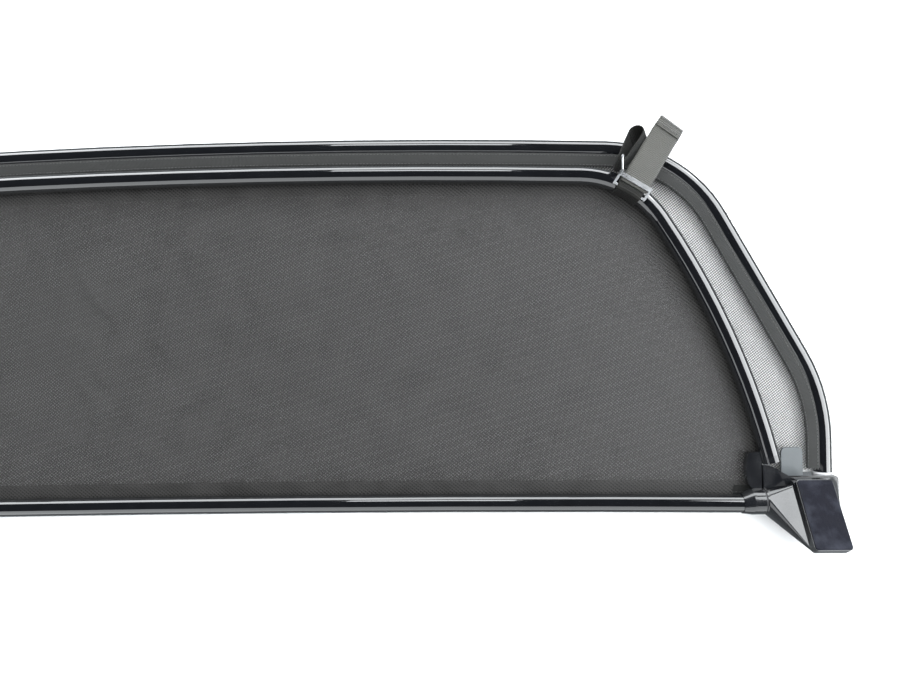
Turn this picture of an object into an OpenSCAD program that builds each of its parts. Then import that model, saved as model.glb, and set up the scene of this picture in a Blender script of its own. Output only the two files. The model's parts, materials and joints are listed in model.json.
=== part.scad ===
// Folding wind screen for an open car: two tube frames with mesh panels, hinged along one long side.
// Shown folded flat. X runs along the hinge, Y from the hinge to the free edges, Z up.
// The origin is under the middle of the folded screen, on the surface it lies on.

/* [Tubes] */
// Outer diameter of every frame tube
tube_d = 16; // [12:0.5:20]
// Wall thickness of the tubes
tube_wall = 1.6; // [1:0.1:2.5]

/* [Outer frame] */
// Distance from the hinge line to the middle of the outer top tube
outer_reach = 328.7; // [300:0.5:350]
// Radius of the slight bow of both top tubes
top_bow_r = 7800; // [5000:100:20000]
// Turn of the outer top tube from its middle to its corner
outer_top_turn = 2.57; // [2:0.01:3]
// Radius of the outer upper corners
outer_corner_r = 123; // [100:1:140]
// Turn of the outer upper corners
outer_corner_turn = 58.5; // [55:0.1:62]
// Straight length of the outer sides
outer_side_len = 146.8; // [130:0.1:160]
// Radius of the outer lower bends
outer_bend_r = 158; // [130:1:180]
// Straight length of the outer tube above the foot, down into it
outer_leg_len = 48.6; // [40:0.1:50]

/* [Inner frame] */
// Distance from the hinge line to the middle of the inner top tube
inner_reach = 299.5; // [280:0.5:310]
// Turn of the inner top tube from its middle to its corner
inner_top_turn = 2.38; // [2:0.01:3]
// Radius of the inner upper corners
inner_corner_r = 88; // [80:1:100]
// Turn of the inner upper corners
inner_corner_turn = 54.6; // [50:0.1:58]
// Radius of the long curve of the inner sides
inner_side_r = 700; // [650:5:800]
// Turn of the inner sides
inner_side_turn = 19; // [17:0.1:20]

/* [Hinge] */
// Height of the hinge line above the surface
hinge_z = 28.3; // [28:0.1:30]
// Distance of the hinge line behind the origin
hinge_back = 153.86; // [140:0.01:170]
// Outer radius of the hinge knuckles
knuckle_r = 11.5; // [10:0.1:11.5]
// Distance from the middle plane to the foot's knuckle
knuckle_x = 480.2; // [478:0.1:482]
// Radius of the hinge pins
pin_r = 4; // [3:0.1:5]

/* [Bottom rails] */
// Radius of the slight bow of the bottom rails
rail_bow_r = 28000; // [20000:500:40000]
// Half length of the inner bottom rail
inner_rail_half = 470.5; // [468:0.5:471]
// Half length of the outer bottom rail
outer_rail_half = 497; // [490:0.5:500]
// Drop of the rail ends below the hinge line, towards the driver
rail_drop = 2; // [0:0.1:2.5]

/* [Mesh] */
// Thickness of the mesh cloth
mesh_t = 0.6; // [0.4:0.1:1]
// Width of the sewn hem tape
hem_w = 12; // [8:0.5:16]
// Thickness of the hem tape
hem_t = 1; // [0.6:0.1:1.2]
// Distance from the tube's middle line to the hem tape's edge
hem_inset = 5.4; // [5.2:0.1:7]

/* [Feet] */
// Width of the pad carrier, along the hinge line
pad_w = 31; // [26:0.5:34]
// Length of the pad carrier
pad_l = 60; // [50:0.5:66]
// Slope of the pad
pad_slope = 31.6; // [20:0.1:35]
// Distance from the middle plane to the middle of the pad
pad_x = 516; // [514:0.5:520]
// Height of the middle of the pad
pad_z = 61; // [56:0.5:66]
// Depth of the pad carrier
carrier_t = 8; // [6:0.5:10]

/* [Straps] */
// Width of the webbing
strap_w = 25; // [20:0.5:26]
// Thickness of the webbing
strap_t = 1.2; // [1:0.1:1.5]
// Angle round the upper corner where the strap sits
strap_turn = 32; // [25:0.5:38]
// Distance from the tube to the far end of the strap loop
loop_l = 57; // [50:0.5:60]
// Radius of the turn of the strap loop
loop_r = 7; // [6.5:0.1:7.5]
// Length of the strap's free tail
tail_l = 60; // [50:0.5:62]

/* [Hidden] */

tube_r = tube_d / 2;
bore_r = tube_r - tube_wall;
outer_z = tube_r;
fit = 0.05;          // gap of a located part in its seat
run = 0.06;          // radial running gap of the hinge
face_gap = 0.3;      // gap between faces that turn past each other
steps = 16;          // pieces of each bend
joint_gap = 0.06;    // gap between two stretches of a tube, over the sleeve

// Right half of each tube's middle line: [radius, turn] for a bend, [0, length] for a straight
outer_path = [
    [top_bow_r, outer_top_turn], [outer_corner_r, outer_corner_turn], [0, outer_side_len],
    [outer_bend_r, 90 - outer_top_turn - outer_corner_turn], [0, outer_leg_len]
];
inner_path = [
    [top_bow_r, inner_top_turn], [inner_corner_r, inner_corner_turn], [inner_side_r, inner_side_turn]
];

function right_of(h) = [sin(h), -cos(h)];
function ahead(h) = [cos(h), sin(h)];
function is_bend(s) = s[0] > 0;
function heading(path, i, h = 0) =
    i == 0 ? h : heading(path, i - 1, h) - (is_bend(path[i - 1]) ? path[i - 1][1] : 0);
function step_from(p, h, s) = is_bend(s)
    ? p + s[0] * (right_of(h) - right_of(h - s[1]))
    : p + s[1] * ahead(h);
function station(path, reach, i) = i == 0
    ? [0, reach]
    : step_from(station(path, reach, i - 1), heading(path, i - 1), path[i - 1]);
function bend_middle(path, reach, i) =
    station(path, reach, i) + path[i][0] * right_of(heading(path, i));

// Points of a path, moved towards the inside of the frame by inset
function bend_points(path, reach, i, inset) = [
    for (k = [0 : steps])
        bend_middle(path, reach, i)
            - (path[i][0] - inset) * right_of(heading(path, i) - path[i][1] * k / steps)
];
function line_points(path, reach, i, inset) = [
    for (k = [0, 1])
        station(path, reach, i) + k * path[i][1] * ahead(heading(path, i))
            + inset * right_of(heading(path, i))
];
function half_outline(path, reach, inset) = [
    for (i = [0 : len(path) - 1])
        each (is_bend(path[i]) ? bend_points(path, reach, i, inset) : line_points(path, reach, i, inset))
];
function mirrored(points) = [for (i = [len(points) - 1 : -1 : 0]) [-points[i][0], points[i][1]]];

// The rails bow up in the middle
function rail_rise(x) = sqrt(pow(rail_bow_r, 2) - pow(x, 2)) - rail_bow_r;
function rail_y(x) = rail_rise(x) - rail_rise(inner_rail_half) - rail_drop;

// Places the children on the hinge line, height measured from the surface
module on_hinge() {
    translate([0, -hinge_back, 0]) children();
}

module both_ways() {
    children();
    mirror([1, 0, 0]) children();
}

// Sweeps a flat profile along one stretch; profile x points out of the frame, y up
module sweep_stretch(path, reach, i) {
    h = heading(path, i);
    if (is_bend(path[i])) {
        trim = joint_gap / 2 / path[i][0] * 180 / PI;
        turn = path[i][1] - 2 * trim;
        translate(bend_middle(path, reach, i))
            rotate([0, 0, h + 90 - path[i][1] + trim])
                rotate_extrude(angle = turn, $fn = ceil(360 / turn * steps))
                    translate([path[i][0], 0]) children();
    } else {
        translate(station(path, reach, i))
            rotate([0, 0, h])
                rotate([90, 0, 90])
                    translate([0, 0, joint_gap / 2])
                        linear_extrude(path[i][1] - joint_gap) children();
    }
}

// Sleeves inside the tube that join its stretches
module tube_joints(path, reach) {
    for (i = [1 : len(path) - 1])
        both_ways() translate(station(path, reach, i))
            rotate([0, 0, heading(path, i)]) rotate([0, 90, 0])
                difference() {
                    cylinder(h = 4, r = tube_r - tube_wall / 2, center = true, $fn = 64);
                    cylinder(h = 5, r = bore_r - tube_wall / 2, center = true, $fn = 64);
                }
}

// Sweeps a flat profile along the whole frame, both halves
module sweep_frame(path, reach) {
    top = path[0];
    turn = top[1] - joint_gap / 2 / top[0] * 180 / PI;
    translate([0, reach - top[0]])
        rotate([0, 0, 90 - turn])
            rotate_extrude(angle = 2 * turn, $fn = ceil(180 / turn * steps))
                translate([top[0], 0]) children();
    for (i = [1 : len(path) - 1])
        both_ways() sweep_stretch(path, reach, i) children();
}

// Sweeps a flat profile along a bottom rail; profile x points to the free edges, y up
module sweep_rail(half) {
    turn = asin(half / rail_bow_r);
    translate([0, rail_y(0) - rail_bow_r])
        rotate([0, 0, 90 - turn])
            rotate_extrude(angle = 2 * turn, $fn = ceil(180 / turn * steps))
                translate([rail_bow_r, 0]) children();
}

module tube_profile() {
    difference() {
        circle(tube_r, $fn = 48);
        circle(bore_r, $fn = 48);
    }
}

// Cylinder along X from x0 to x1
module bar_x(x0, x1, r, y = 0, z = hinge_z) {
    translate([x0, y, z]) rotate([0, 90, 0]) cylinder(h = x1 - x0, r = r, $fn = 64);
}

// Block with upright rounded edges
module rounded_block(size, r) {
    linear_extrude(size[2])
        for (turn = [0, 1])
            square([size[0] - 2 * r * turn, size[1] - 2 * r * (1 - turn)], center = true);
    for (x = [-1, 1], y = [-1, 1])
        translate([x * (size[0] / 2 - r), y * (size[1] / 2 - r), 0])
            cylinder(h = size[2], r = r, $fn = 32);
}

// ---------- outer frame ----------

module outer_tube() color([0.05, 0.05, 0.06]) on_hinge()
    translate([0, 0, outer_z]) {
        sweep_frame(outer_path, outer_reach) tube_profile();
        tube_joints(outer_path, outer_reach);
    }

module outer_rail() color([0.05, 0.05, 0.06]) on_hinge()
    translate([0, 0, outer_z]) sweep_rail(outer_rail_half) tube_profile();

outer_cloth_z = outer_z + tube_r - 2.4;     // underside of the outer mesh
inner_cloth_z = hinge_z - tube_r + 1.3;     // top of the inner mesh
cloth_inset = hem_inset + 0.6;              // from a tube's middle line to the edge of its mesh

// Outline of a mesh panel, closed along its bowed rail
function panel_outline(path, reach, rail_half, inset) = concat(
    mirrored(half_outline(path, reach, inset)),
    half_outline(path, reach, inset),
    [for (k = [steps : -1 : -steps]) let (x = rail_half * k / steps) [x, rail_y(x) + inset]]
);

module outer_mesh() color([0.2, 0.21, 0.21]) on_hinge()
    difference() {
        translate([0, 0, outer_cloth_z])
            linear_extrude(mesh_t)
                polygon(panel_outline(outer_path, outer_reach, outer_rail_half, cloth_inset));
        both_ways() foot_clearance();
    }

// A hem tape's section, beside the tube it borders; side is 1 above the cloth, -1 below it
module hem_profile(side) {
    translate([-hem_inset - hem_w, side > 0 ? 0 : -hem_t]) square([hem_w, hem_t]);
}

module outer_hem() color([0.3, 0.31, 0.32]) on_hinge()
    difference() {
        translate([0, 0, outer_cloth_z + mesh_t]) {
            sweep_frame(outer_path, outer_reach) hem_profile(1);
            sweep_rail(outer_rail_half - tube_r) mirror([1, 0]) hem_profile(1);
        }
        both_ways() foot_clearance();
    }

// ---------- foot, right-hand side ----------

foot_floor = 1.5;                           // underside of the foot above the surface
base_x0 = 486;                              // inboard face of the foot's base
base_x1 = 551.5;                            // outboard face of the foot's base
base_y0 = -14;
base_y1 = 20;
base_top = 19;
leg_x = station(outer_path, outer_reach, 4)[0];     // middle of the outer tube's straight end
leg_end_y = station(outer_path, outer_reach, 4)[1] - outer_leg_len;
web_z0 = hinge_z - 5;                       // underside of the flat corner web
web_z1 = hinge_z + 1;
web_reach = 32.2;                           // how far the foot's web stands out from the hinge line
washer_t = 1.1;
pin_x0 = 472;
pin_x1 = 503;

module foot_clearance() {
    translate([base_x0 - 1, base_y0 - 2, foot_floor])
        cube([base_x1 - base_x0 + 2, base_y1 - base_y0 + 4.4, base_top]);
}

module on_pad() {
    translate([pad_x, -3.3, pad_z]) rotate([-pad_slope, 0, 0]) children();
}

// The inclined shoulder between the knuckle and the pad, and the leg under the pad
module foot_shoulder() {
    hull() {
        bar_x(knuckle_x + 0.5, knuckle_x + 11, knuckle_r - 0.4, $fn = 32);
        on_pad() translate([0, 0, -carrier_t - 2]) rounded_block([pad_w - 2, pad_l - 2, 2], 3);
    }
    hull() {
        on_pad() translate([0, 0, -carrier_t - 2]) rounded_block([pad_w - 2, pad_l - 2, 2], 3);
        translate([(base_x0 + 14 + base_x1) / 2, (base_y0 + base_y1) / 2, base_top - 4])
            rounded_block([base_x1 - base_x0 - 17, base_y1 - base_y0 - 2, 3.3], 4);
    }
}

module foot_base() {
    translate([(base_x0 + base_x1) / 2, (base_y0 + base_y1) / 2, foot_floor])
        rounded_block([base_x1 - base_x0, base_y1 - base_y0, base_top - foot_floor], 4);
    bar_x(knuckle_x, base_x0 + 16, knuckle_r);
    // column under the knuckle
    translate([base_x0, -knuckle_r + 2, foot_floor])
        cube([16, 2 * knuckle_r - 4, hinge_z - foot_floor]);
}

// Flat web that carries on the line of the corner casting
module foot_web() {
    translate([0, 0, web_z0])
        linear_extrude(web_z1 - web_z0)
            polygon([[knuckle_x, 0], [knuckle_x, web_reach], [486.5, 31.4], [492.5, 28.3], [499.2, 24.1],
                     [505, 20.8], [510.5, 18], [510.5, 0]]);
}

module foot_body() color([0.06, 0.06, 0.07]) on_hinge()
    difference() {
        union() {
            foot_shoulder();
            foot_base();
            foot_web();
        }
        // seat of the outer tube's end
        translate([leg_x, leg_end_y - fit, outer_z])
            rotate([-90, 0, 0]) cylinder(h = base_y1 + 60, r = tube_r + fit, $fn = 64);
        // seat of the bottom rail's end
        bar_x(knuckle_x - 10, outer_rail_half + fit, tube_r + 0.5, y = rail_y(outer_rail_half - 7), z = outer_z);
        // hinge pin hole
        bar_x(knuckle_x - 1, pin_x1 + fit, pin_r + 0.02);
        // pilot holes of the screws
        tube_screw_places() cylinder(h = 9, r = 1.5, $fn = 24);
        tube_screw_places() translate([0, 0, -0.01]) cylinder(h = 1.9, r = 3.3, $fn = 32);
        pad_screw_places() translate([0, 0, -12]) cylinder(h = 13, r = 1.5, $fn = 24);
        // room for the clip's root
        clip_shape(0.05);
    }

// One screw into the outer tube from outboard, one into the rail from the driver's side
module tube_screw_places() {
    translate([base_x1, leg_end_y + 5, outer_z]) rotate([0, -90, 0]) children();
    translate([outer_rail_half - 5, base_y0, outer_z]) rotate([-90, 0, 0]) children();
}

module pad_screw_places() {
    on_pad() for (y = [-1, 1]) translate([0, y * pad_l / 4, -carrier_t]) children();
}

// A countersunk or cheese-head screw pointing along +Z, with a cross recess
module screw(head_r, head_h, shank_r, shank_l) {
    difference() {
        union() {
            cylinder(h = head_h, r = head_r, $fn = 32);
            translate([0, 0, head_h]) cylinder(h = shank_l, r = shank_r, $fn = 24);
        }
        for (turn = [0, 90])
            rotate([0, 0, turn]) cube([head_r * 1.1, 0.7, head_h], center = true);
    }
}

module tube_screws() color([0.55, 0.55, 0.57]) on_hinge()
    tube_screw_places() translate([0, 0, 0.2]) screw(3.1, 1.6, 1.4, 5);

pad_lip = 0.5;                              // rim of the carrier around the pad
pad_seat = 2;                               // depth of the pad's seat

module pad_carrier() color([0.07, 0.07, 0.08]) on_hinge()
    difference() {
        on_pad() difference() {
            translate([0, 0, -carrier_t]) rounded_block([pad_w, pad_l, carrier_t], 3.5);
            translate([0, 0, -pad_seat])
                rounded_block([pad_w - 2 * pad_lip, pad_l - 2 * pad_lip, pad_seat + 1], 2.8);
        }
        pad_screw_places() translate([0, 0, -0.1]) cylinder(h = carrier_t, r = 1.7, $fn = 24);
        pad_screw_places() translate([0, 0, 3.6]) cylinder(h = carrier_t, r = 3.4, $fn = 32);
    }

module foot_pad() color([0.12, 0.13, 0.18]) on_hinge()
    on_pad() translate([0, 0, -pad_seat])
        rounded_block([pad_w - 2 * pad_lip - 0.2, pad_l - 2 * pad_lip - 0.2, pad_seat + 0.8], 2.6);

module pad_screws() color([0.55, 0.55, 0.57]) on_hinge()
    pad_screw_places() translate([0, 0, 5.4]) rotate([180, 0, 0]) screw(3.2, 1.7, 1.4, 13);

clip_w = 19.5;
clip_l = 31;
clip_t = 2.2;
clip_x = 511;
clip_y0 = 14.5;

// Tongue of the clip that holds the mesh corner to the foot
module clip_shape(grow = 0) {
    translate([clip_x, clip_y0 + clip_l / 2, outer_cloth_z + mesh_t + hem_t + 0.1 - grow])
        rotate([0, 3, 0])
            rounded_block([clip_w + 2 * grow, clip_l + 2 * grow, clip_t + 2 * grow], 4.5);
}

module mesh_clip() color([0.35, 0.37, 0.4]) on_hinge() clip_shape();

module socket_ring() color([0.75, 0.76, 0.78]) on_hinge()
    translate([leg_x, base_y1 + 0.05, outer_z]) rotate([-90, 0, 0])
        difference() {
            cylinder(h = 1.8, r = tube_r + 0.5, $fn = 64);
            translate([0, 0, -1]) cylinder(h = 4, r = tube_r + fit, $fn = 64);
            // flat on the side it lies on
            translate([-2 * tube_r, tube_r - 0.1, -1]) cube([4 * tube_r, 4, 4]);
            // flat where the mesh lies on the tube
            translate([-2 * tube_r - 3, -tube_r - 0.75 - 4, -1]) cube([2 * tube_r, 4.75, 4]);
        }

module hinge_pin() color([0.7, 0.7, 0.72]) on_hinge()
    bar_x(pin_x0, pin_x1, pin_r);

module hinge_washer() color([0.6, 0.6, 0.62]) on_hinge()
    difference() {
        bar_x(knuckle_x - washer_t, knuckle_x, knuckle_r - 0.5);
        bar_x(knuckle_x - 5, knuckle_x + 5, pin_r + 0.02);
    }

// ---------- inner frame ----------

module inner_tube() color([0.05, 0.05, 0.06]) on_hinge()
    translate([0, 0, hinge_z]) {
        sweep_frame(inner_path, inner_reach) tube_profile();
        tube_joints(inner_path, inner_reach);
    }

module inner_rail() color([0.05, 0.05, 0.06]) on_hinge()
    translate([0, 0, hinge_z]) sweep_rail(inner_rail_half) tube_profile();

module casting_clearance() {
    translate([inner_rail_half - 14, -20, 0]) cube([60, 33, hinge_z + 20]);
    anchor_sweep(1.1) circle(tube_r + fit + strap_t + 0.15, $fn = 48);
}

side_foot_y = station(inner_path, inner_reach, 3)[1];      // where the inner tube ends
side_foot_x = station(inner_path, inner_reach, 3)[0];
side_heading = heading(inner_path, 3);

module inner_mesh() color([0.2, 0.21, 0.21]) on_hinge()
    difference() {
        translate([0, 0, inner_cloth_z - mesh_t])
            linear_extrude(mesh_t)
                polygon(panel_outline(inner_path, inner_reach, inner_rail_half, cloth_inset));
        both_ways() casting_clearance();
    }

module inner_hem() color([0.3, 0.31, 0.32]) on_hinge()
    difference() {
        translate([0, 0, inner_cloth_z - mesh_t]) {
            sweep_frame(inner_path, inner_reach) hem_profile(-1);
            sweep_rail(inner_rail_half - 2) mirror([1, 0]) hem_profile(-1);
        }
        both_ways() casting_clearance();
    }

casting_x1 = knuckle_x - washer_t - face_gap;       // outboard face of the casting's knuckle
casting_x0 = casting_x1 - 8;
collar_x0 = 461;
arm_len = 6;

// At the end of the inner side tube, z running on out of the tube
module on_side_end() {
    translate([side_foot_x, side_foot_y, hinge_z]) rotate([0, 0, side_heading]) rotate([0, 90, 0]) children();
}

// Solid arm that carries on the side tube, with a spigot inside it
module casting_arm() {
    on_side_end() {
        translate([0, 0, fit]) cylinder(h = arm_len, r = tube_r, $fn = 64);
        translate([0, 0, -12]) cylinder(h = 13, r = bore_r - 0.2, $fn = 64);
    }
}

module casting_web() {
    arm_bottom = side_foot_y - arm_len;
    translate([0, 0, web_z0])
        linear_extrude(web_z1 - web_z0)
            polygon([[casting_x1, 0], [casting_x1, arm_bottom + 0.6], [side_foot_x + 3, arm_bottom + 0.6],
                     [side_foot_x + 3, side_foot_y - 1], [side_foot_x - tube_r + 1, side_foot_y + 3],
                     [468, side_foot_y + 2], [465.8, 34], [465.5, 24], [467, 16],
                     [469.5, knuckle_r + 0.8], [casting_x0, knuckle_r + 0.8], [casting_x0, 0]]);
}

module corner_casting() color([0.06, 0.06, 0.07]) on_hinge()
    difference() {
        union() {
            bar_x(casting_x0, casting_x1, knuckle_r);
            difference() {
                casting_web();
                on_side_end() translate([0, 0, -30]) cylinder(h = 30 + fit, r = tube_r + 0.2, $fn = 64);
            }
            casting_arm();
        }
        bar_x(casting_x0 - 1, casting_x1 + 1, pin_r + 1.6 + fit);
        casting_screw_places() translate([0, 0, -0.01]) cylinder(h = 4.9, r = 1.5, $fn = 24);
    }

module hinge_bush() color([0.85, 0.84, 0.8]) on_hinge()
    difference() {
        bar_x(casting_x0 + 0.1, casting_x1 - 0.1, pin_r + 1.6);
        bar_x(casting_x0 - 1, casting_x1 + 1, pin_r + run);
    }

// Flared collar over the end of the inner bottom rail
module rail_collar() color([0.06, 0.06, 0.07]) on_hinge()
    difference() {
        hull() {
            bar_x(collar_x0, collar_x0 + 1, tube_r + 0.7, y = rail_y(collar_x0));
            bar_x(casting_x0 - 1.6, casting_x0 - fit, knuckle_r);
        }
        translate([0, rail_y(inner_rail_half - 4), hinge_z])
            rotate([0, 90, 0]) cylinder(h = inner_rail_half + 0.1, r = tube_r + 0.15, $fn = 64);
        translate([inner_rail_half, 0, 0]) bar_x(-1, 8, pin_r + 0.3);
    }

module casting_screw_places() {
    translate([side_foot_x - 11, side_foot_y - 3, web_z0]) children();
    translate([casting_x0 + 1, 16.5, web_z0]) children();
}

module casting_screws() color([0.55, 0.55, 0.57]) on_hinge()
    casting_screw_places() translate([0, 0, -1.6]) screw(3, 1.6, 1.4, 4.6);

// ---------- straps, right-hand side ----------

strap_heading = 90 - strap_turn;
rear_bar = [-4.8, 11.7];                    // [outward, up] from the middle of the inner tube
front_bar = [3.5, 15.9];
bar_r = 1.1;
anchor_turn = strap_w / inner_corner_r * 180 / PI;
buckle_half = 15;

module at_corner_middle() {
    middle = bend_middle(inner_path, inner_reach, 1);
    translate([middle[0], middle[1], hinge_z]) rotate([0, 0, strap_heading]) children();
}

// Local frame on the tube: x out of the frame, y along the tube, z up
module at_strap() {
    at_corner_middle() translate([inner_corner_r, 0, 0]) children();
}

// Extrudes a section drawn in [outward, up] along the tube's direction
module along_tube(width, shift = 0) {
    translate([0, shift + width / 2, 0]) rotate([90, 0, 0]) linear_extrude(width) children();
}

// Sweeps a section along the tube's bend over the width of the anchor, times widen
module anchor_sweep(widen = 1) {
    turn = anchor_turn * widen;
    at_corner_middle()
        rotate([0, 0, -turn / 2])
            rotate_extrude(angle = turn, $fn = ceil(360 / turn * steps))
                translate([inner_corner_r, 0]) children();
}

module strap_anchor() color([0.08, 0.08, 0.08]) on_hinge()
    anchor_sweep() difference() {
        union() {
            circle(tube_r + 0.1 + strap_t, $fn = 64);
            translate(rear_bar) circle(bar_r + 1.3 + strap_t, $fn = 32);
        }
        circle(tube_r + 0.1, $fn = 64);
        translate(rear_bar) circle(bar_r + 1.3, $fn = 32);
    }

// Side plate of the buckle
module buckle_cheek() {
    polygon([rear_bar + [-1.8, -0.8], rear_bar + [0.6, -1.6], front_bar + [2, -1.4],
             front_bar + [2, 1.1], front_bar + [-2, 1.1], rear_bar + [-1.4, 1.5]]);
}

loop_roll = 96;                             // how far the loop is turned on its edge
loop_along = 20;                            // how far it sits beside the tail
loop_near = 13;                             // distance from the tube to its near turn
loop_up = [10, 6.5];                        // height of its near and far turns
near_r = 3.8;
loop_lean = asin((loop_up[0] - loop_up[1]) / (loop_l - loop_r - loop_near));
post_reach = strap_w / 2 + 1.9;             // from the post's middle to where its arm meets it
post_top = [loop_near + post_reach * sin(loop_roll) * sin(loop_lean), loop_along - post_reach * cos(loop_roll),
            loop_up[0] + post_reach * sin(loop_roll) * cos(loop_lean)];
arm_foot = [front_bar[0], buckle_half, front_bar[1]];       // where the post's arm leaves the front bar
arm_elbow = [front_bar[0], buckle_half, post_top[2]];
wire_r = bar_r - 0.15;

// Local frame of the loop: x from near to far turn, y across the webbing, z out of it
module on_loop() {
    translate([loop_near, loop_along, loop_up[0]])
        rotate([0, loop_lean, 0])
            rotate([-loop_roll, 0, 0]) children();
}

module buckle() color([0.72, 0.72, 0.74]) on_hinge() at_strap() {
    for (side = [-1, 1])
        along_tube(2, side * buckle_half) buckle_cheek();
    along_tube(2 * buckle_half) {
        translate(rear_bar) circle(bar_r, $fn = 24);
        translate(front_bar - [2, 1.1]) square([4, 2.2]);
    }
    // side post that carries the loop
    on_loop() rotate([90, 0, 0]) cylinder(h = strap_w + 5.6, r = bar_r, center = true, $fn = 24);
    wire(arm_foot, arm_elbow + [0, 0, wire_r], wire_r);
    wire(arm_elbow, post_top, wire_r - 0.1);
}

// Round wire of radius r from one point to another
module wire(from, to, r) {
    run_of = to - from;
    translate(from)
        rotate([0, acos(run_of[2] / norm(run_of)), atan2(run_of[1], run_of[0])])
            cylinder(h = norm(run_of), r = r, $fn = 24);
}

module teardrop(grow) {
    hull() {
        circle(near_r - strap_t + grow, $fn = 48);
        translate([loop_l - loop_r - loop_near, 0]) circle(loop_r - strap_t + grow, $fn = 64);
    }
}

module strap_loop() color([0.1, 0.1, 0.1]) on_hinge() at_strap()
    on_loop() translate([0, strap_w / 2, 0]) rotate([90, 0, 0])
        linear_extrude(strap_w) difference() {
            teardrop(strap_t);
            teardrop(0);
        }

tail_top = front_bar - [3.9, 1.1 + 0.3 + strap_t];

module strap_tail() color([0.3, 0.3, 0.3]) on_hinge() at_strap()
    along_tube(strap_w, -1)
        polygon([tail_top, tail_top + [tail_l - 8, 0.5], tail_top + [tail_l, 1.5],
                 tail_top + [tail_l, 1.5 + 2 * strap_t], tail_top + [tail_l - 8, 0.5 + strap_t],
                 tail_top + [0, strap_t]]);

module left(right_side = true) {
    mirror([1, 0, 0]) children();
}

outer_tube();
outer_rail();
outer_mesh();
outer_hem();
left() foot_body();  // foot_body_left
foot_body();  // foot_body_right
left() pad_carrier();  // pad_carrier_left
pad_carrier();  // pad_carrier_right
left() foot_pad();  // foot_pad_left
foot_pad();  // foot_pad_right
left() pad_screws();  // pad_screws_left
pad_screws();  // pad_screws_right
left() tube_screws();  // tube_screws_left
tube_screws();  // tube_screws_right
left() mesh_clip();  // mesh_clip_left
mesh_clip();  // mesh_clip_right
left() socket_ring();  // socket_ring_left
socket_ring();  // socket_ring_right
left() hinge_pin();  // hinge_pin_left
hinge_pin();  // hinge_pin_right
left() hinge_washer();  // hinge_washer_left
hinge_washer();  // hinge_washer_right
inner_tube();
inner_rail();
inner_mesh();
inner_hem();
left() corner_casting();  // corner_casting_left
corner_casting();  // corner_casting_right
left() rail_collar();  // rail_collar_left
rail_collar();  // rail_collar_right
left() hinge_bush();  // hinge_bush_left
hinge_bush();  // hinge_bush_right
left() casting_screws();  // casting_screws_left
casting_screws();  // casting_screws_right
left() strap_anchor();  // strap_anchor_left
strap_anchor();  // strap_anchor_right
left() buckle();  // buckle_left
buckle();  // buckle_right
left() strap_loop();  // strap_loop_left
strap_loop();  // strap_loop_right
left() strap_tail();  // strap_tail_left
strap_tail();  // strap_tail_right
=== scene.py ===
"""Looks of a folding wind deflector: two hinged tube frames with mesh panels, feet and cinch straps."""

import json
import logging
import math
from dataclasses import dataclass, field
from enum import Enum
from typing import Callable, Iterable, Sequence

import bmesh
import bpy
import numpy as np
from mathutils import Matrix, Vector


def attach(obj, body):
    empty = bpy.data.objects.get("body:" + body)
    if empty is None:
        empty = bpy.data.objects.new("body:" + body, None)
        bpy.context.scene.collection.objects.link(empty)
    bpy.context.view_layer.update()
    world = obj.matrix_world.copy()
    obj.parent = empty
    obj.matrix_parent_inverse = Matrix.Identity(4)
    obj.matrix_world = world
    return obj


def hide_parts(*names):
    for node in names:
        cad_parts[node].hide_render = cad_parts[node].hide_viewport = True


logging.basicConfig(level=logging.INFO, format="%(message)s")
LOG = logging.getLogger("deflector")

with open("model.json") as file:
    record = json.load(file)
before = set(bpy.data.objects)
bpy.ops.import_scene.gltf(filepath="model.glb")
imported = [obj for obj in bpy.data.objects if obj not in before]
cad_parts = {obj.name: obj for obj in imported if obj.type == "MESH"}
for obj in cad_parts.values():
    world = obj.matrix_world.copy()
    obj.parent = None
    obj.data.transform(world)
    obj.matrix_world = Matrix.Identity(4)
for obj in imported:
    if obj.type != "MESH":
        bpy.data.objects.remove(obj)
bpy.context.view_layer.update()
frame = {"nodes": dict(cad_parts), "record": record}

MM = 0.001
Point2 = tuple[float, float]
Colour = tuple[float, float, float]
Value = bpy.types.NodeSocket | float


class Side(Enum):
    """The two mirror-image ends of the screen."""

    LEFT = -1.0
    RIGHT = 1.0

    @property
    def suffix(self) -> str:
        """Name ending used by the nodes of this end."""
        return "left" if self is Side.LEFT else "right"


class Body(Enum):
    """Rigid bodies that the pieces ride on."""

    OUTER = "outer_frame"
    INNER = "inner_frame"
    STRAP_LEFT = "strap_left"
    STRAP_RIGHT = "strap_right"

    @staticmethod
    def strap(side: Side) -> "Body":
        """Returns the strap body of one end."""
        return Body.STRAP_LEFT if side is Side.LEFT else Body.STRAP_RIGHT


# ---------------------------------------------------------------- geometry of the bent tubes


@dataclass(frozen=True)
class Stretch:
    """One stretch of a tube's middle line, in millimetres and degrees.

    Args:
        radius: bend radius, or 0 for a straight.
        extent: turn in degrees of a bend, length of a straight.
    """

    radius: float
    extent: float


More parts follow.
